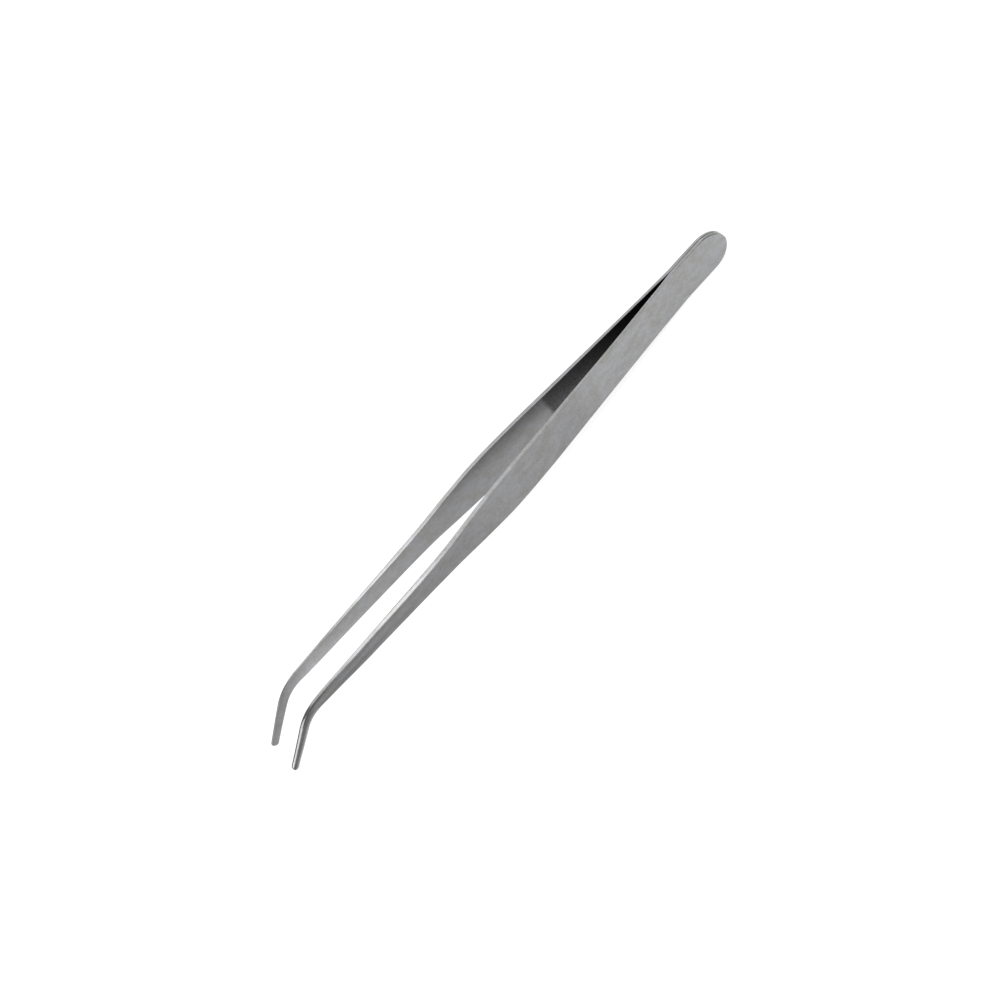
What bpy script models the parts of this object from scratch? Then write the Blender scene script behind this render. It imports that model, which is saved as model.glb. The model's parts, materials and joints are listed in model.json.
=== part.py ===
"""Curved-nose precision tweezers: two spring-steel arms joined at the head by two spot welds.

Metres, +Z up. Each arm is made flat along +X, from the head's round end to the tip, and the pair
is mirrored about the middle plane Y = 0: the left arm is at +Y. The arms bow apart in Y, and both
noses bend the same way in the plane of the blades, towards -Z. The whole tool then lies as it
does on a bench: on the head's lower edge and the two tips.
"""

import math

import bmesh
import bpy
from mathutils import Matrix, Vector

MM = 0.001

# Blade of one arm, at distances from the head's end along the arm's centre line.
# Each pair is (distance, size), and a smooth curve runs through the pairs.
WIDTH_MM = ((6.0, 9.5), (22.0, 9.15), (38.0, 9.1), (54.0, 9.4), (72.0, 9.8), (79.0, 9.6),
            (85.0, 8.75), (90.0, 7.75), (98.0, 6.2), (106.0, 5.45), (126.0, 4.55), (138.0, 3.7),
            (146.0, 2.7), (150.0, 2.45), (160.0, 1.9))
THICKNESS_MM = ((0.0, 0.8), (25.0, 0.8), (60.0, 1.2), (85.0, 1.25), (104.0, 1.4), (126.0, 1.1),
                (145.0, 1.05), (160.0, 0.95))
SEAM_MM = 0.3               # between the two arms' heads
FLEX_START_MM = 15.0        # where the weld lets go of the arms
HEAD_MIDDLE_MM = (THICKNESS_MM[0][1] + SEAM_MM) / 2
# Distance of one arm's middle from the tool's middle plane, as it bows away from the weld.
BOW_MM = ((FLEX_START_MM, HEAD_MIDDLE_MM), (25.0, 1.31), (38.0, 2.36), (52.0, 3.36), (66.0, 4.35),
          (84.0, 5.2), (104.0, 5.53), (120.0, 5.57), (138.0, 5.6), (148.0, 5.62), (154.0, 5.48),
          (160.0, 5.22))
# Chamfer along each edge: the legs' edges are broken more than the blade's, the noses' most.
CHAMFER_MM = ((80.0, 0.14), (98.0, 0.28), (128.0, 0.28), (148.0, 0.36))

HEAD_ROUND = 6.1 * MM       # length of the elliptical round at the head's end
NOSE_BEND_START = 141.6 * MM
NOSE_BEND_RADIUS = 12.0 * MM
NOSE_BEND_ANGLE = math.radians(38)
NOSE_STRAIGHT = 11.3 * MM   # from the end of the bend to the tip

MOST_CHAMFER = 0.72         # as a share of the half thickness
SHOULDER_START = 80 * MM    # the blade narrows to a slender leg between these two
SHOULDER_END = 108 * MM
END_SHRINK = 0.6            # how much the tip's last section thins, as a share

WELD_RADIUS = 1.5 * MM
WELD_THICKNESS = 0.6 * MM
WELD_FROM_HEAD = {"spot_weld_rear": 4.8 * MM, "spot_weld_front": 12.2 * MM}
CLEARANCE = 0.3 * MM        # round each weld, inside its pocket

SIDES = {"arm_left": 1, "arm_right": -1}
ROUND_STEPS = 9             # sections in each rounded end
ROUND_FACETS = 32
LEVEL_ROUNDS = 6            # repeats that settle the resting slope


def slopes_through(points):
    """The slope at each point of a smooth curve that doesn't overshoot between two points."""
    steps = [(b[1] - a[1]) / (b[0] - a[0]) for a, b in zip(points, points[1:])]
    slopes = [steps[0]]
    for before, after in zip(steps, steps[1:]):
        same_way = before * after > 0
        slopes.append(2 * before * after / (before + after) if same_way else 0.0)
    return slopes + [steps[-1]]


def smooth(points_mm, distance):
    """The curve's value in metres at a distance in metres. It stays level beyond the end points."""
    x = min(max(distance / MM, points_mm[0][0]), points_mm[-1][0])
    slopes = slopes_through(points_mm)
    k = max(i for i, point in enumerate(points_mm[:-1]) if point[0] <= x)
    (x0, y0), (x1, y1) = points_mm[k], points_mm[k + 1]
    span = x1 - x0
    t = (x - x0) / span
    value = (y0 * (1 + 2 * t) * (1 - t) ** 2 + slopes[k] * span * t * (1 - t) ** 2
             + y1 * t * t * (3 - 2 * t) + slopes[k + 1] * span * t * t * (t - 1))
    return value * MM


BEND_RUN = NOSE_BEND_RADIUS * NOSE_BEND_ANGLE
ARM_LENGTH = NOSE_BEND_START + BEND_RUN + NOSE_STRAIGHT
TIP_ROUND = smooth(WIDTH_MM, ARM_LENGTH) / 2


def centre_line(distance):
    """(x, z, turned) at a distance along the arm: where the blade's middle is, and its slope."""
    run = max(distance - NOSE_BEND_START, 0.0)
    turned = min(run / NOSE_BEND_RADIUS, NOSE_BEND_ANGLE)
    beyond = max(run - BEND_RUN, 0.0)
    x = min(distance, NOSE_BEND_START) + NOSE_BEND_RADIUS * math.sin(turned)
    z = -NOSE_BEND_RADIUS * (1 - math.cos(turned))
    return x + beyond * math.cos(turned), z - beyond * math.sin(turned), turned


def round_share(into, length):
    """The share of the full width at a distance into a rounded end of this length."""
    left = max(1 - into / length, 0.0)
    return math.sqrt(1 - left * left)


def arm_middle(distance, side):
    """The middle of one blade at a distance, in the tool's frame."""
    x, z, _ = centre_line(distance)
    return Vector((x, side * smooth(BOW_MM, distance), z))


def section(distance, side):
    """The eight corners of the blade at a distance: a chamfered rectangle across the arm."""
    turned = centre_line(distance)[2]
    end = round_share(ARM_LENGTH - distance, TIP_ROUND)
    half_width = smooth(WIDTH_MM, distance) / 2 * round_share(distance, HEAD_ROUND) * end
    half_thickness = smooth(THICKNESS_MM, distance) / 2 * (1 - END_SHRINK * (1 - end))
    chamfer = min(smooth(CHAMFER_MM, distance), half_thickness * MOST_CHAMFER, half_width / 2)
    quarter = [(half_width - chamfer, half_thickness), (half_width, half_thickness - chamfer)]
    upper = quarter + [(w, -t) for w, t in reversed(quarter)]
    corners = upper + [(-w, -t) for w, t in upper]
    width_way = Vector((math.sin(turned), 0, math.cos(turned)))
    thickness_way = Vector((0, side, 0))
    middle = arm_middle(distance, side)
    return [middle + w * width_way + t * thickness_way for w, t in corners]


def stations():
    """Distances of the loft's sections: close together at the rounded ends and in the bend."""
    angles = [math.radians(90) * k / ROUND_STEPS for k in range(1, ROUND_STEPS)]
    head = [HEAD_ROUND * (1 - math.cos(angle)) for angle in angles]
    tip = [ARM_LENGTH - TIP_ROUND * (1 - math.cos(angle)) for angle in reversed(angles)]
    bend_end = NOSE_BEND_START + BEND_RUN
    middle = []
    for start, end, step in (
        (HEAD_ROUND, SHOULDER_START, 3 * MM),
        (SHOULDER_START, SHOULDER_END, 2 * MM),
        (SHOULDER_END, NOSE_BEND_START, 4 * MM),
        (NOSE_BEND_START, bend_end, 0.8 * MM),
        (bend_end, tip[0], 2 * MM),
    ):
        count = round((end - start) / step)
        middle += [start + (end - start) * k / count for k in range(count)]
    return head + middle + tip


def loft(name, sections):
    """A closed solid through sections that all have the same number of corners."""
    shape = bmesh.new()
    rings = [[shape.verts.new(corner) for corner in corners] for corners in sections]
    for ring, following in zip(rings, rings[1:]):
        for k in range(len(ring)):
            after = (k + 1) % len(ring)
            shape.faces.new((ring[k], ring[after], following[after], following[k]))
    shape.faces.new(rings[0])
    shape.faces.new(rings[-1])
    bmesh.ops.recalc_face_normals(shape, faces=shape.faces)
    return mesh_from(name, shape)


def mesh_from(name, shape):
    mesh = bpy.data.meshes.new(name)
    shape.to_mesh(mesh)
    shape.free()
    mesh.shade_smooth()
    mesh.set_sharp_from_angle(angle=math.radians(30))
    return mesh


def steel(name, colour, roughness):
    material = bpy.data.materials.new(name)
    material.use_nodes = True
    shader = material.node_tree.nodes["Principled BSDF"]
    shader.inputs["Base Color"].default_value = (*colour, 1)
    shader.inputs["Metallic"].default_value = 1.0
    shader.inputs["Roughness"].default_value = roughness
    return material


def place(name, mesh, collection, parent, location):
    piece = bpy.data.objects.new(name, mesh)
    collection.objects.link(piece)
    piece.parent = parent
    piece.location = location
    return piece


def make_arm(name, side, collection, parent):
    """One blade, with its origin on the line that it flexes about, at the front of the weld."""
    origin = arm_middle(FLEX_START_MM * MM, side)
    mesh = loft(name, [[corner - origin for corner in section(d, side)] for d in stations()])
    mesh.materials.append(steel(name, (0.58, 0.58, 0.59), 0.34))
    return place(name, mesh, collection, parent, origin)


def make_weld(name, collection, parent):
    """The lens of metal that a spot weld melts together between the two heads."""
    shape = bmesh.new()
    bmesh.ops.create_uvsphere(shape, u_segments=24, v_segments=12, radius=WELD_RADIUS)
    bmesh.ops.scale(shape, vec=(1, 1, WELD_THICKNESS / 2 / WELD_RADIUS), verts=shape.verts)
    bmesh.ops.rotate(shape, verts=shape.verts, matrix=Matrix.Rotation(math.radians(90), 3, "X"))
    mesh = mesh_from(name, shape)
    mesh.materials.append(steel(name, (0.36, 0.35, 0.34), 0.5))
    return place(name, mesh, collection, parent, Vector((WELD_FROM_HEAD[name], 0, 0)))


def make_pocket(name, collection, parent):
    """The cutter that leaves room for one weld in both arms' inner faces."""
    shape = bmesh.new()
    radius = WELD_RADIUS + CLEARANCE
    bmesh.ops.create_cone(shape, cap_ends=True, segments=ROUND_FACETS, radius1=radius,
                          radius2=radius, depth=WELD_THICKNESS + 2 * CLEARANCE)
    bmesh.ops.rotate(shape, verts=shape.verts, matrix=Matrix.Rotation(math.radians(90), 3, "X"))
    cutter = place(f"{name}_pocket", mesh_from(f"{name}_pocket", shape), collection, parent,
                   Vector((WELD_FROM_HEAD[name], 0, 0)))
    cutter.hide_render = True
    cutter.display_type = "WIRE"
    return cutter


def cut(arm, cutters):
    for cutter in cutters:
        boolean = arm.modifiers.new(cutter.name, "BOOLEAN")
        boolean.operation = "DIFFERENCE"
        boolean.solver = "EXACT"
        boolean.object = cutter


def resting_slope():
    """How far the tool pitches to stand on the head's lower edge and the tips, in radians."""
    corners = [corner for distance in stations() for corner in section(distance, 1)]
    pitch = 0.0
    for _ in range(LEVEL_ROUNDS):
        turned = [Matrix.Rotation(pitch, 3, "Y") @ corner for corner in corners]
        head = min((p for p in turned if p.x < SHOULDER_START / 2), key=lambda p: p.z)
        tip = min((p for p in turned if p.x > NOSE_BEND_START), key=lambda p: p.z)
        pitch += math.atan2(tip.z - head.z, tip.x - head.x)
    return pitch


def new_collection(name):
    collection = bpy.data.collections.new(name)
    bpy.context.scene.collection.children.link(collection)
    return collection


def stand_on_origin(frame, pieces):
    """Moves the frame so that the tool's box stands on the origin, centred over it."""
    bpy.context.view_layer.update()
    corners = [piece.matrix_world @ vertex.co for piece in pieces for vertex in piece.data.vertices]
    low = Vector([min(corner[k] for corner in corners) for k in range(3)])
    high = Vector([max(corner[k] for corner in corners) for k in range(3)])
    frame.location -= Vector(((low.x + high.x) / 2, (low.y + high.y) / 2, low.z))


def main():
    for leftover in list(bpy.data.objects):
        bpy.data.objects.remove(leftover)
    parts = new_collection("precision_tweezers")
    cutters = new_collection("cutters")

    frame = bpy.data.objects.new("tweezers_frame", None)
    parts.objects.link(frame)
    frame.rotation_euler.y = resting_slope()

    arms = [make_arm(name, side, parts, frame) for name, side in SIDES.items()]
    pockets = [make_pocket(name, cutters, frame) for name in WELD_FROM_HEAD]
    for name in WELD_FROM_HEAD:
        make_weld(name, parts, frame)
    for arm in arms:
        cut(arm, pockets)
    stand_on_origin(frame, arms)


main()
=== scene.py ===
"""Precision tweezers with bent noses: the visible arms, their steel, the studio and the camera.

The two arms are lofted again here with finer sections than the CAD solids, in the same place.
Distances along an arm run from the head's round end. Across is the blade's width, and outwards
is away from the other arm.
"""

import json
import math

import bmesh
import bpy
from mathutils import Matrix, Vector


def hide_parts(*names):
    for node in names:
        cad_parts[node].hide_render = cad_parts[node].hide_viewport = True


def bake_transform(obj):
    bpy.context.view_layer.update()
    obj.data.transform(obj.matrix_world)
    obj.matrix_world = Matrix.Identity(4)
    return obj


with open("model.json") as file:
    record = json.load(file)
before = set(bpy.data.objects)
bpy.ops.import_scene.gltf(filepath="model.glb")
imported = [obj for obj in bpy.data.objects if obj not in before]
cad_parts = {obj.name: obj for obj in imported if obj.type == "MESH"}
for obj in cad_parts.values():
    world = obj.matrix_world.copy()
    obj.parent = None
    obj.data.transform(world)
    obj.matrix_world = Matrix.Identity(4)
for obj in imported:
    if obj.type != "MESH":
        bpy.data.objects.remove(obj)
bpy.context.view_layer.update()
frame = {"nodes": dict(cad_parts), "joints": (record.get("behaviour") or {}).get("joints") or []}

MM = 0.001
QUARTER_TURN = math.radians(90)

# The blade of one arm, as (distance, size) pairs joined by a smooth curve. Only the width differs
# from the CAD source: it is a little smaller where the blade starts to narrow.
WIDTH_MM = ((6.0, 9.5), (22.0, 9.15), (38.0, 9.1), (54.0, 9.4), (72.0, 9.8), (78.0, 9.6),
            (84.0, 8.75), (90.0, 7.72), (98.0, 6.2), (106.0, 5.45), (126.0, 4.55), (138.0, 3.7),
            (146.0, 2.7), (150.0, 2.45), (160.0, 1.9))
THICKNESS_MM = ((0.0, 0.8), (25.0, 0.8), (60.0, 1.2), (85.0, 1.25), (104.0, 1.4), (126.0, 1.1),
                (145.0, 1.05), (160.0, 0.95))
SEAM_MM = 0.3
FLEX_START_MM = 15.0
HEAD_MIDDLE_MM = (THICKNESS_MM[0][1] + SEAM_MM) / 2
BOW_MM = ((FLEX_START_MM, HEAD_MIDDLE_MM), (25.0, 1.31), (38.0, 2.36), (52.0, 3.36), (66.0, 4.35),
          (84.0, 5.2), (104.0, 5.53), (120.0, 5.57), (138.0, 5.6), (148.0, 5.62), (154.0, 5.48),
          (160.0, 5.22))
HEAD_START_MM = 0.1                                # the CAD solid starts here too
HEAD_ROUND_MM = 6.1
BEND_START_MM = 141.6
BEND_RADIUS_MM = 12.0
BEND_ANGLE = math.radians(38)
BEND_RUN_MM = BEND_RADIUS_MM * BEND_ANGLE
NOSE_STRAIGHT_MM = 11.3
ARM_LENGTH_MM = BEND_START_MM + BEND_RUN_MM + NOSE_STRAIGHT_MM
END_SHRINK = 0.6                                   # how much thinner the very tip is, as a share
ARMS = {"arm_left": 1, "arm_right": -1}
MARKS = ("edge", "rim", "raw", "share")            # what each vertex tells the steel's finish and its painted light

# The finish that the CAD solids leave out, in millimetres.
CLOSED_SEAM_MM = 0.05                              # what shows between the two heads
SEAM_FILL_MM = ((FLEX_START_MM, (SEAM_MM - CLOSED_SEAM_MM) / 2), (20.0, 0.0))
GROUND_STEP_MM = ((56.0, 0.0), (57.3, 0.04))       # depth ground off the inner face
RAW_SHARE_MM = ((55.9, 1.0), (57.5, 0.0))          # where the inner face is as rolled
SKIN_MM = 0.012                                    # keeps the steel inside the CAD box
EDGE_BREAK_MM = ((1.0, 0.3), (6.0, 0.24), (14.0, 0.1), (80.0, 0.12), (104.0, 0.14), (150.0, 0.1))
INNER_FALL_MM = ((84.0, 0.0), (96.0, 0.12), (128.0, 0.14), (146.0, 0.0))
OUTER_FALL_MM = ((82.0, 0.0), (98.0, 0.14), (112.0, 0.26), (132.0, 0.26), (146.0, 0.2))
MOST_BREAK = 0.75                                  # as a share of the half thickness
FALL_PARTS = 4                                     # a fall is at most a quarter of the half width
BREAK_PARTS = 3                                    # a ridge or break is at most a third of its room
RIDGE_HALF_MM = 0.1                                # flat left along the middle of an edge
RIDGE_SHIFT_MM = 0.15                              # how far that flat lies towards the inner side
NOSE_SHARE = ((108.0, 0.0), (126.0, 0.12), (140.0, 0.55), (149.0, 1.0))    # flat at 0, an arc at 1
NOSE_ARC = math.radians(60)                        # half of the arc on a nose's outer side
BREAK_STEPS = 3
SIDE_SHARES = (0.0, 0.5, 0.94, 1.0)                # points from an edge's ridge to its break
FACE_SHARES = (0.985, 0.9, 0.7, 0.45, 0.2)         # points across half of a face

# How close together the loft's sections are.
HEAD_STEPS = 24
TIP_STEPS = 14
FIRST_STEP = 0.4                                   # of a step, from a rounded end to its first section
BLADE_STEP_MM = 1.0
GROUND_EDGE_STEP_MM = 0.16
LEG_STEP_MM = 0.8
BEND_STEP_MM = 0.4
NOSE_STEP_MM = 0.5
SHARP_ANGLE = math.radians(40)

# How light the steel is along the arm, in pairs of (distance, level): the steel's own tone with
# painted light in it. These and the bands below were set by comparing renders with the photo.
# Outer faces: their own tone, made darker towards the nose as painted reflection.
OUTER_LEVEL_AND_REFLECTION = ((0.0, 0.335), (45.0, 0.33), (55.0, 0.275), (80.0, 0.27), (92.0, 0.232),
               (112.0, 0.212), (122.0, 0.2), (130.0, 0.18), (141.0, 0.19), (160.0, 0.19))
# Inner faces: their own tone with painted shade and reflection, darkest at the nose.
INNER_LEVEL_AND_SHADE = ((0.0, 0.33), (60.0, 0.29), (92.0, 0.265), (112.0, 0.28), (126.0, 0.3),
               (138.0, 0.33), (143.0, 0.27), (147.0, 0.22), (160.0, 0.23))
# Edges: made lighter along the legs as a painted highlight.
RIM_LEVEL_AND_HIGHLIGHT = ((0.0, 0.27), (60.0, 0.29), (80.0, 0.36), (98.0, 0.46), (112.0, 0.6), (136.0, 0.54),
             (147.0, 0.32), (160.0, 0.28))
# As-rolled inner faces: dark steel, with painted shade that is darkest towards the head, where the
# arms close up.
RAW_LEVEL_AND_SHADE = ((0.0, 0.02), (25.0, 0.02), (34.0, 0.035), (44.0, 0.09), (52.0, 0.125), (60.0, 0.13))
# Painted reflection bands, light and dark, across the width of a leg and a nose, in pairs of (share,
# factor).
LEG_REFLECTION_BANDS = ((-1.0, 1.2), (-0.75, 1.1), (-0.5, 0.96), (-0.25, 0.86), (-0.05, 1.0), (0.18, 1.1),
             (0.4, 1.0), (0.7, 0.86), (1.0, 1.0))
NOSE_REFLECTION_BANDS = ((-1.0, 1.7), (-0.5, 1.6), (-0.2, 1.2), (0.07, 0.8), (0.3, 0.56), (0.5, 0.7),
              (0.75, 1.3), (1.0, 1.5))
# Painted reflection across an inner face: lighter towards one long edge, darker towards the other.
INNER_REFLECTION_BANDS = ((-1.0, 1.16), (0.0, 1.0), (1.0, 0.88))
# The stretches, in millimetres, over which one finish, or one set of painted reflection bands, gives
# way to the next.
OUTER_SIDE_MM = (-0.05, 0.15)                      # outwards: from the inner side to the outer
OFF_INNER_FACE_MM = (-0.5, -0.44)                  # outwards: from the inner face to the edge
REFLECTION_BANDED_MM = (104.0, 130.0)                         # along the arm, as are the next three
NOSE_STREAKS_MM = (118.0, 146.0)
NOSE_REFLECTIONS_MM = (141.0, 147.0)
POLISHED_MM = (139.0, 147.0)
# Noise in the steel: changes per millimetre along, across and outwards, its detail and roughness.
CLOUD = ((0.3, 0.6, 0.6), 4.0, 0.55)
MOTTLE = ((1.3, 1.9, 1.9), 3.0, 0.55)
STREAK = ((0.2, 6.0, 6.0), 5.0, 0.65)
FINE_STREAK = ((1.8, 34.0, 34.0), 2.0, 0.55)
SPECKLE = ((5.0, 5.0, 5.0), 3.0, 0.55)
NOISE_RANGE = (0.3, 0.7)                           # what such noise mostly keeps to
STREAK_RANGE = (0.25, 0.75)
TINT_RANGE = (0.35, 0.65)
# How far each noise moves the steel's level, as a share of it.
CLOUD_REACH = 0.07
MOTTLE_REACH = 0.07
SPECKLE_REACH = 0.05
STREAK_REACH = 0.03
NOSE_STREAK_GAIN = 0.09
RAW_REACH = 0.45
BROKEN_EDGE_GAIN = 0.08
STEEL_TINT = (0.995, 1.0)                          # red and green
STEEL_BLUE = (0.97, 1.04)                          # from warmer to cooler
SATIN_ROUGHNESS = 0.34
STREAK_ROUGHNESS_REACH = 0.035
MOTTLE_ROUGHNESS_REACH = 0.02
RIM_SMOOTHER = 0.05
NOSE_ROUGHNESS = 0.14
RAW_ROUGHNESS = 0.5
# The steel's relief, as (strength, height in millimetres).
STREAK_RELIEF = (0.1, 0.02)
FINE_RELIEF = (0.06, 0.01)
MOTTLE_RELIEF = (0.12, 0.05)
# The weld's metal. Its noise counts changes over the whole nugget.
WELD_RIPPLE = ((9.0, 9.0, 9.0), 4.0, 0.55)
WELD_PITS = ((40.0, 40.0, 40.0), 2.0, 0.55)
WELD_DARK = (0.27, 0.25, 0.23, 1)
WELD_LIGHT = (0.4, 0.38, 0.35, 1)
WELD_ROUGHNESS = (0.42, 0.6)
RIPPLE_RELIEF = (0.4, 0.05)
PITS_RELIEF = (0.3, 0.02)
METAL = 1.0

# The studio, in metres. A light's level is the brightness of its surface.
ROOM_LEVEL = 0.4
SOFT_BOXES = (                                     # (name, side, place, level)
    ("top_light", 2.6, (0.0, 0.35, 2.5), 1.15),
    ("back_light", 3.6, (0.0, -2.8, 2.1), 0.9),
    ("head_side_light", 2.4, (-2.1, -2.0, 1.2), 0.9),
    ("nose_side_light", 1.4, (2.3, 1.2, 0.75), 2.6),
)
FLOOR_SIZE = 8.0
FLOOR_CELLS = 16
FLOOR_DROP_MM = 0.02                               # keeps it just clear of the tool
FLOOR_GLOW = 0.79
FLOOR_LEVEL = 0.4
FLOOR_UNEVEN = 0.01
FLOOR_FIBRE = ((600.0, 600.0, 600.0), 2.0, 0.55)   # changes per metre
FLOOR_ROUGHNESS = 0.9
FLOOR_SPECULAR = 0.1

# The view of the photograph.
CAMERA_AZIMUTH = math.radians(0.413)
CAMERA_ELEVATION = math.radians(45)
CAMERA_ROLL = math.radians(-48.64)
CAMERA_DISTANCE = 0.5473
CAMERA_TARGET = Vector((0.00095, 0.0, 0.00258))
CAMERA_LENS_MM = 85
CAMERA_SENSOR_MM = 36
CAMERA_CLIP_START = 0.01


# ---------------------------------------------------------------- shape

def slopes_through(points):
    """The slope at each point of a smooth curve that doesn't overshoot between two points."""
    steps = [(b[1] - a[1]) / (b[0] - a[0]) for a, b in zip(points, points[1:])]
    slopes = [steps[0]]
    for before, after in zip(steps, steps[1:]):
        same_way = before * after > 0
        slopes.append(2 * before * after / (before + after) if same_way else 0.0)
    return slopes + [steps[-1]]


def smooth(points, x):
    """The curve's value at a distance in millimetres. It stays level beyond the end points."""
    x = min(max(x, points[0][0]), points[-1][0])
    slopes = slopes_through(points)
    k = max(i for i, point in enumerate(points[:-1]) if point[0] <= x)
    (x0, y0), (x1, y1) = points[k], points[k + 1]
    span = x1 - x0
    t = (x - x0) / span
    return (y0 * (1 + 2 * t) * (1 - t) ** 2 + slopes[k] * span * t * (1 - t) ** 2
            + y1 * t * t * (3 - 2 * t) + slopes[k + 1] * span * t * t * (t - 1))


def eased(points, x):
    """Like smooth, but level at both ends of each stretch."""
    for (x0, y0), (x1, y1) in zip(points, points[1:]):
        if x < x1:
            t = max((x - x0) / (x1 - x0), 0.0)
            return y0 + (y1 - y0) * t * t * (3 - 2 * t)
    return points[-1][1]


TIP_ROUND_MM = smooth(WIDTH_MM, ARM_LENGTH_MM) / 2


def centre_line(distance):
    """(x, z, turned) at a distance along the arm: where the blade's middle is, and its slope."""
    run = max(distance - BEND_START_MM, 0.0)
    turned = min(run / BEND_RADIUS_MM, BEND_ANGLE)
    beyond = max(run - BEND_RUN_MM, 0.0)
    x = min(distance, BEND_START_MM) + BEND_RADIUS_MM * math.sin(turned)
    z = -BEND_RADIUS_MM * (1 - math.cos(turned))
    return x + beyond * math.cos(turned), z - beyond * math.sin(turned), turned


def round_share(into, length):
    """The share of the full width at a distance into a rounded end of this length."""
    left = min(max(1 - into / length, 0.0), 1.0)
    return math.sqrt(1 - left * left)


def quarter_outline(half_width, depth, fall, edge_break, start=0.0):
    """A quarter of a flat section, from its edge at the depth start to the middle of its face.

    Each point is (across, outwards, how much it belongs to the broken edge, and to the rim)."""
    shoulder = depth - edge_break
    ridge = min(RIDGE_HALF_MM, (shoulder - start) / BREAK_PARTS)
    points = []
    for share in SIDE_SHARES:
        outwards = start + ridge + (shoulder - start - ridge) * share
        points.append((half_width - fall * share, outwards, 0.0, 1.0))
    inset = half_width - fall - edge_break
    for step in range(1, BREAK_STEPS + 1):
        angle = QUARTER_TURN * step / BREAK_STEPS
        points.append((inset + edge_break * math.cos(angle),
                       shoulder + edge_break * math.sin(angle), 1.0, 1.0))
    return points + [(inset * share, depth, 0.0, 0.0) for share in FACE_SHARES]


def outer_half(half_width, depth, fall, edge_break, share):
    """The outer half of a section, from the upper edge to the lower: flat, or ground to an arc."""
    quarter = quarter_outline(half_width, depth, fall, edge_break, -RIDGE_SHIFT_MM)
    lower = [(-across, *rest) for across, *rest in reversed(quarter)]
    flat = quarter + [(0.0, depth, 0.0, 0.0)] + lower
    radius = half_width / math.sin(NOSE_ARC)
    half = []
    for k, (across, outwards, edge, rim) in enumerate(flat):
        angle = NOSE_ARC * (1 - 2 * k / (len(flat) - 1))
        to_across = radius * math.sin(angle)
        to_outwards = depth - radius * (1 - math.cos(angle))
        half.append((across + (to_across - across) * share,
                     outwards + (to_outwards - outwards) * share,
                     edge * (1 - share), rim * (1 - share)))
    return half


def outline(distance):
    """A closed section: (across, outwards, edge, rim, raw, share of the width) all round."""
    end = round_share(ARM_LENGTH_MM - distance, TIP_ROUND_MM)
    head = round_share(distance - HEAD_START_MM, HEAD_ROUND_MM - HEAD_START_MM)
    half_width = (smooth(WIDTH_MM, distance) / 2 - SKIN_MM) * head * end
    depth = (smooth(THICKNESS_MM, distance) / 2 - SKIN_MM) * (1 - END_SHRINK * (1 - end))
    inner_fall = min(eased(INNER_FALL_MM, distance), half_width / FALL_PARTS)
    outer_fall = min(eased(OUTER_FALL_MM, distance), half_width / FALL_PARTS)
    edge_break = min(smooth(EDGE_BREAK_MM, distance), half_width / BREAK_PARTS, depth * MOST_BREAK)
    inner_depth = depth + eased(SEAM_FILL_MM, distance) - eased(GROUND_STEP_MM, distance)
    raw = eased(RAW_SHARE_MM, distance)
    nose = eased(NOSE_SHARE, distance)

    outer = outer_half(half_width, depth, outer_fall, edge_break, nose)
    start = -outer[0][1]
    inner_break = min(edge_break, (inner_depth - start) / BREAK_PARTS)
    inner = quarter_outline(half_width, inner_depth, inner_fall, inner_break, start)
    ring = [(*point, 0.0) for point in outer]
    ring += [(-across, -outwards, edge, rim, raw * (1 - rim))
             for across, outwards, edge, rim in inner]
    ring += [(0.0, -inner_depth, 0.0, 0.0, raw)]
    ring += [(across, -outwards, edge, rim, raw * (1 - rim))
             for across, outwards, edge, rim in reversed(inner)]
    return [(*point, point[0] / half_width) for point in ring]


def spaced(start, end, step):
    """Distances from start up to but not including end, about a step apart."""
    count = max(round((end - start) / step), 1)
    return [start + (end - start) * k / count for k in range(count)]


def round_steps(length, count):
    """Distances into a rounded end of this length, closest together at its very end."""
    return [length * (1 - math.cos(QUARTER_TURN * (k + FIRST_STEP) / count)) for k in range(count)]


def stations():
    """Distances of the loft's sections, close together where the shape changes quickly."""
    head = [HEAD_START_MM + into for into in round_steps(HEAD_ROUND_MM - HEAD_START_MM, HEAD_STEPS)]
    tip = [ARM_LENGTH_MM - into for into in reversed(round_steps(TIP_ROUND_MM, TIP_STEPS))]
    step_start, step_end = GROUND_STEP_MM[0][0], GROUND_STEP_MM[1][0]
    middle = spaced(HEAD_ROUND_MM, step_start, BLADE_STEP_MM)
    middle += spaced(step_start, step_end, GROUND_EDGE_STEP_MM)
    middle += spaced(step_end, BEND_START_MM, LEG_STEP_MM)
    middle += spaced(BEND_START_MM, BEND_START_MM + BEND_RUN_MM, BEND_STEP_MM)
    middle += spaced(BEND_START_MM + BEND_RUN_MM, tip[0], NOSE_STEP_MM)
    return head + middle + tip


def hinge_place(arm):
    """The matrix from the arm's design space, in millimetres, to the frame, in metres."""
    hinge = next(joint for joint in frame["joints"] if joint["child"] == arm)
    side = ARMS[arm]
    up = -side * Vector(hinge["axis"]).normalized()
    outward = Vector((0, 1, 0))
    along = outward.cross(up)
    turn = Matrix((along, outward, up)).transposed()
    design_hinge = Vector((FLEX_START_MM, side * HEAD_MIDDLE_MM, 0)) * MM
    shift = Vector(hinge["pos_m"]) - turn @ design_hinge
    return Matrix.Translation(shift) @ turn.to_4x4() @ Matrix.Scale(MM, 4)


def section(distance, side):
    """The section's corners in design space, with the values that the steel's finish and painted light
    read.
    """
    x, z, turned = centre_line(distance)
    middle = Vector((x, side * smooth(BOW_MM, distance), z))
    width_way = Vector((math.sin(turned), 0, math.cos(turned)))
    thickness_way = Vector((0, side, 0))
    return [(middle + across * width_way + outwards * thickness_way,
             (distance, across, outwards), marks)
            for across, outwards, *marks in outline(distance)]


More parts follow.
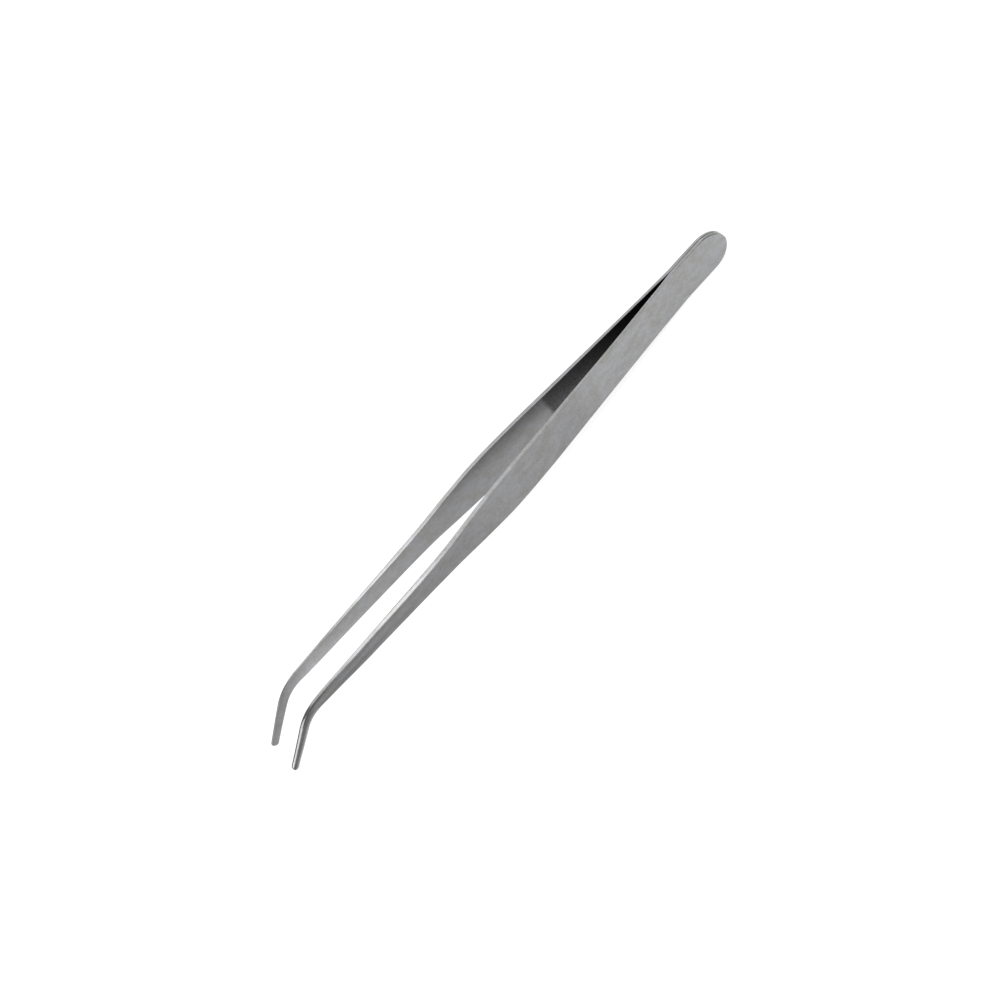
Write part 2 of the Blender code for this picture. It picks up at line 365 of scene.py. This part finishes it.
def make_arm(name, arm):
    """The visible blade of one arm, which stands for the CAD solid, placed by its hinge."""
    side = ARMS[arm]
    place = hinge_place(arm)
    shape = bmesh.new()
    grain = shape.verts.layers.float_vector.new("grain")
    layers = [shape.verts.layers.float.new(mark) for mark in MARKS]
    rings = []
    for distance in stations():
        ring = []
        for corner, where, marks in section(distance, side):
            vertex = shape.verts.new(place @ corner)
            vertex[grain] = where
            for layer, mark in zip(layers, marks):
                vertex[layer] = mark
            ring.append(vertex)
        rings.append(ring)
    for ring, following in zip(rings, rings[1:]):
        for k in range(len(ring)):
            after = (k + 1) % len(ring)
            shape.faces.new((ring[k], ring[after], following[after], following[k]))
    shape.faces.new(rings[0])
    shape.faces.new(rings[-1])
    bmesh.ops.recalc_face_normals(shape, faces=shape.faces)
    mesh = bpy.data.meshes.new(name)
    shape.to_mesh(mesh)
    shape.free()
    mesh.shade_smooth()
    mesh.set_sharp_from_angle(angle=SHARP_ANGLE)

    piece = bpy.data.objects.new(name, mesh)
    bpy.context.scene.collection.objects.link(piece)
    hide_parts(arm)
    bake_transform(piece)
    return piece


# ---------------------------------------------------------------- materials

class Nodes:
    """A few short ways to add nodes to one material."""

    def __init__(self, name):
        self.material = bpy.data.materials.new(name)
        self.material.use_nodes = True
        self.tree = self.material.node_tree
        self.shader = self.tree.nodes["Principled BSDF"]

    def put(self, socket, value):
        if isinstance(value, bpy.types.NodeSocket):
            self.tree.links.new(value, socket)
        else:
            socket.default_value = value

    def attribute(self, name, output):
        node = self.tree.nodes.new("ShaderNodeAttribute")
        node.attribute_name = name
        return node.outputs[output]

    def math(self, operation, a, b=0.0):
        node = self.tree.nodes.new("ShaderNodeMath")
        node.operation = operation
        self.put(node.inputs[0], a)
        self.put(node.inputs[1], b)
        return node.outputs[0]

    def scaled(self, vector, scale):
        node = self.tree.nodes.new("ShaderNodeVectorMath")
        node.operation = "MULTIPLY"
        self.put(node.inputs[0], vector)
        node.inputs[1].default_value = scale
        return node.outputs[0]

    def noise(self, vector, scale, detail, roughness):
        """Noise from 0 to 1 in a stretched copy of the vector."""
        node = self.tree.nodes.new("ShaderNodeTexNoise")
        self.put(node.inputs["Vector"], self.scaled(vector, scale))
        node.inputs["Scale"].default_value = 1.0
        node.inputs["Detail"].default_value = detail
        node.inputs["Roughness"].default_value = roughness
        return node.outputs["Fac"]

    def ramp(self, value, low, high, to_low, to_high):
        """Goes from to_low to to_high while the value goes from low to high, and no further."""
        node = self.tree.nodes.new("ShaderNodeMapRange")
        node.interpolation_type = "SMOOTHSTEP"
        self.put(node.inputs["Value"], value)
        node.inputs["From Min"].default_value = low
        node.inputs["From Max"].default_value = high
        self.put(node.inputs["To Min"], to_low)
        self.put(node.inputs["To Max"], to_high)
        return node.outputs["Result"]

    def rise(self, value, low, high):
        """0 up to low, 1 from high onwards."""
        return self.ramp(value, low, high, 0.0, 1.0)

    def swing(self, noise, reach, span=NOISE_RANGE):
        """The noise as a number from -reach to reach."""
        return self.ramp(noise, *span, -reach, reach)

    def blend(self, share, first, second):
        """One number at share 0 and the other at share 1."""
        node = self.tree.nodes.new("ShaderNodeMix")
        self.put(node.inputs["Factor"], share)
        self.put(node.inputs["A"], first)
        self.put(node.inputs["B"], second)
        return node.outputs["Result"]

    def profile(self, place, levels):
        """A number that follows (place, level) pairs."""
        start, end = levels[0][0], levels[-1][0]
        node = self.tree.nodes.new("ShaderNodeValToRGB")
        elements = node.color_ramp.elements
        for at, _ in levels[1:-1]:
            elements.new((at - start) / (end - start))
        for element, (at, level) in zip(elements, levels):
            element.position = (at - start) / (end - start)
            element.color = (level, level, level, 1)
        moved = self.math("SUBTRACT", place, start)
        self.put(node.inputs["Fac"], self.math("DIVIDE", moved, end - start))
        return node.outputs["Color"]

    def mix(self, share, first, second):
        """Like blend, for colours."""
        node = self.tree.nodes.new("ShaderNodeMix")
        node.data_type = "RGBA"
        self.put(node.inputs["Factor"], share)
        self.put(node.inputs["A"], first)
        self.put(node.inputs["B"], second)
        return node.outputs["Result"]

    def bump(self, height, strength, height_mm, normal=None):
        """A normal with this relief, on top of another normal's relief if there is one."""
        node = self.tree.nodes.new("ShaderNodeBump")
        node.inputs["Strength"].default_value = strength
        node.inputs["Distance"].default_value = height_mm * MM
        self.put(node.inputs["Height"], height)
        if normal is not None:
            self.put(node.inputs["Normal"], normal)
        return node.outputs["Normal"]


def grey(nodes, level, tint=(1.0, 1.0, 1.0)):
    """A grey of this level, tinted. Level and tint may vary over the surface."""
    node = nodes.tree.nodes.new("ShaderNodeCombineColor")
    for channel, share in zip(("Red", "Green", "Blue"), tint):
        nodes.put(node.inputs[channel], nodes.math("MULTIPLY", level, share))
    return node.outputs["Color"]


def steel_level(nodes, along, outwards, rim, raw, share):
    """How light the steel is, before its noise: by place along the arm and side, with painted
    highlights, shade and reflection bands.
    """
    outer = nodes.rise(outwards, *OUTER_SIDE_MM)
    level = nodes.blend(outer, nodes.profile(along, INNER_LEVEL_AND_SHADE), nodes.profile(along, OUTER_LEVEL_AND_REFLECTION))
    level = nodes.blend(rim, level, nodes.profile(along, RIM_LEVEL_AND_HIGHLIGHT))
    level = nodes.blend(raw, level, nodes.profile(along, RAW_LEVEL_AND_SHADE))
    # Painted reflection bands: the leg bands give way to the nose bands at the bend, and the inner
    # bands lie on the inner side.
    bent = nodes.rise(along, *NOSE_REFLECTIONS_MM)
    bands = nodes.blend(bent, nodes.profile(share, LEG_REFLECTION_BANDS), nodes.profile(share, NOSE_REFLECTION_BANDS))
    bands = nodes.blend(outer, nodes.profile(share, INNER_REFLECTION_BANDS), bands)
    banded = nodes.rise(along, *REFLECTION_BANDED_MM)
    return nodes.math("MULTIPLY", level, nodes.blend(banded, 1.0, bands))


def satin_steel():
    """Stainless steel, ground lengthwise, and left as rolled inside the rear of the blades."""
    nodes = Nodes("satin_steel")
    grain = nodes.attribute("grain", "Vector")
    edge, rim, raw, share = [nodes.attribute(mark, "Fac") for mark in MARKS]
    axes = nodes.tree.nodes.new("ShaderNodeSeparateXYZ")
    nodes.put(axes.inputs[0], grain)
    along, outwards = axes.outputs["X"], axes.outputs["Z"]
    cloud, mottle, streak, fine, speckle = [
        nodes.noise(grain, *kind) for kind in (CLOUD, MOTTLE, STREAK, FINE_STREAK, SPECKLE)]

    nose_gain = nodes.math("MULTIPLY", nodes.rise(along, *NOSE_STREAKS_MM), NOSE_STREAK_GAIN)
    streak_reach = nodes.math("ADD", STREAK_REACH, nose_gain)
    uneven = nodes.math("MULTIPLY", streak_reach, nodes.swing(streak, 1.0, STREAK_RANGE))
    for noise, reach in ((cloud, CLOUD_REACH), (mottle, MOTTLE_REACH), (speckle, SPECKLE_REACH)):
        uneven = nodes.math("ADD", uneven, nodes.swing(noise, reach))
    raw_uneven = nodes.math("MULTIPLY", nodes.swing(speckle, RAW_REACH), raw)
    uneven = nodes.math("ADD", uneven, raw_uneven)
    uneven = nodes.math("ADD", uneven, nodes.math("MULTIPLY", edge, BROKEN_EDGE_GAIN))
    # The level holds painted highlights, shade and reflection as well as the steel's own tone.
    level = steel_level(nodes, along, outwards, rim, raw, share)
    level = nodes.math("MULTIPLY", level, nodes.math("ADD", 1.0, uneven))
    blue = nodes.ramp(cloud, *TINT_RANGE, *STEEL_BLUE)
    nodes.put(nodes.shader.inputs["Base Color"], grey(nodes, level, (*STEEL_TINT, blue)))
    nodes.shader.inputs["Metallic"].default_value = METAL

    satin = nodes.math("ADD", nodes.swing(streak, STREAK_ROUGHNESS_REACH), SATIN_ROUGHNESS)
    satin = nodes.math("ADD", satin, nodes.swing(mottle, MOTTLE_ROUGHNESS_REACH))
    polish = nodes.math("MULTIPLY", nodes.rise(along, *POLISHED_MM),
                        nodes.rise(outwards, *OFF_INNER_FACE_MM))
    roughness = nodes.blend(polish, satin, NOSE_ROUGHNESS)
    roughness = nodes.blend(raw, roughness, RAW_ROUGHNESS)
    roughness = nodes.math("SUBTRACT", roughness, nodes.math("MULTIPLY", rim, RIM_SMOOTHER))
    nodes.put(nodes.shader.inputs["Roughness"], roughness)

    lines = nodes.bump(streak, *STREAK_RELIEF)
    lines = nodes.bump(fine, *FINE_RELIEF, lines)
    lines = nodes.bump(mottle, *MOTTLE_RELIEF, lines)
    nodes.put(nodes.shader.inputs["Normal"], lines)
    return nodes.material


def weld_metal():
    """Steel that has melted and set again: rippled and pitted, in two tints."""
    nodes = Nodes("weld_metal")
    place = nodes.tree.nodes.new("ShaderNodeTexCoord").outputs["Generated"]
    ripple = nodes.noise(place, *WELD_RIPPLE)
    pits = nodes.noise(place, *WELD_PITS)
    tint = nodes.mix(nodes.rise(ripple, *TINT_RANGE), WELD_DARK, WELD_LIGHT)
    nodes.put(nodes.shader.inputs["Base Color"], tint)
    nodes.shader.inputs["Metallic"].default_value = METAL
    nodes.put(nodes.shader.inputs["Roughness"], nodes.ramp(pits, *NOISE_RANGE, *WELD_ROUGHNESS))
    relief = nodes.bump(pits, *PITS_RELIEF, nodes.bump(ripple, *RIPPLE_RELIEF))
    nodes.put(nodes.shader.inputs["Normal"], relief)
    return nodes.material


# ---------------------------------------------------------------- studio

def make_floor():
    """A large pale sheet under the tool. It glows a little, which keeps the background white."""
    shape = bmesh.new()
    bmesh.ops.create_grid(shape, x_segments=FLOOR_CELLS, y_segments=FLOOR_CELLS, size=FLOOR_SIZE / 2)
    mesh = bpy.data.meshes.new("floor")
    shape.to_mesh(mesh)
    shape.free()
    nodes = Nodes("floor_paper")
    place = nodes.tree.nodes.new("ShaderNodeTexCoord").outputs["Object"]
    fibre = nodes.noise(place, *FLOOR_FIBRE)
    level = nodes.ramp(fibre, *NOISE_RANGE, FLOOR_LEVEL - FLOOR_UNEVEN, FLOOR_LEVEL + FLOOR_UNEVEN)
    nodes.put(nodes.shader.inputs["Base Color"], grey(nodes, level))
    nodes.shader.inputs["Roughness"].default_value = FLOOR_ROUGHNESS
    nodes.shader.inputs["Specular IOR Level"].default_value = FLOOR_SPECULAR
    nodes.shader.inputs["Emission Color"].default_value = (1, 1, 1, 1)
    nodes.shader.inputs["Emission Strength"].default_value = FLOOR_GLOW
    mesh.materials.append(nodes.material)
    floor = bpy.data.objects.new("floor", mesh)
    floor.location.z = -FLOOR_DROP_MM * MM
    bpy.context.scene.collection.objects.link(floor)


def soft_box(name, side, place, level):
    """A square area light that faces the tool."""
    light = bpy.data.lights.new(name, "AREA")
    light.shape = "SQUARE"
    light.size = side
    light.energy = level * math.pi * side * side
    holder = bpy.data.objects.new(name, light)
    holder.location = place
    holder.rotation_euler = (-Vector(place)).to_track_quat("-Z", "Y").to_euler()
    bpy.context.scene.collection.objects.link(holder)


def make_light():
    """A pale room with soft boxes, and brightness shown as it is."""
    world = bpy.data.worlds.new("studio")
    world.use_nodes = True
    background = world.node_tree.nodes["Background"]
    background.inputs["Color"].default_value = (1, 1, 1, 1)
    background.inputs["Strength"].default_value = ROOM_LEVEL
    bpy.context.scene.world = world
    for box in SOFT_BOXES:
        soft_box(*box)
    bpy.context.scene.view_settings.view_transform = "Standard"


def make_camera():
    """The photograph's camera, turned about its own axis by the roll."""
    flat = Vector((math.sin(CAMERA_AZIMUTH), math.cos(CAMERA_AZIMUTH), 0))
    back = flat * math.cos(CAMERA_ELEVATION) + Vector((0, 0, math.sin(CAMERA_ELEVATION)))
    level_right = Vector((0, 0, 1)).cross(back).normalized()
    level_up = back.cross(level_right)
    right = math.cos(CAMERA_ROLL) * level_right + math.sin(CAMERA_ROLL) * level_up
    up = math.cos(CAMERA_ROLL) * level_up - math.sin(CAMERA_ROLL) * level_right
    data = bpy.data.cameras.new("camera")
    data.lens = CAMERA_LENS_MM
    data.sensor_width = CAMERA_SENSOR_MM
    data.clip_start = CAMERA_CLIP_START
    camera = bpy.data.objects.new("camera", data)
    turn = Matrix((right, up, back)).transposed().to_4x4()
    camera.matrix_world = Matrix.Translation(CAMERA_TARGET + back * CAMERA_DISTANCE) @ turn
    bpy.context.scene.collection.objects.link(camera)
    bpy.context.scene.camera = camera


make_camera()
make_light()
make_floor()
steel = satin_steel()
for arm in ARMS:
    make_arm(arm.replace("arm", "blade"), arm).data.materials.append(steel)
weld = weld_metal()
for name in ("spot_weld_rear", "spot_weld_front"):
    nugget = frame["nodes"][name]
    nugget.material_slots[0].material = weld
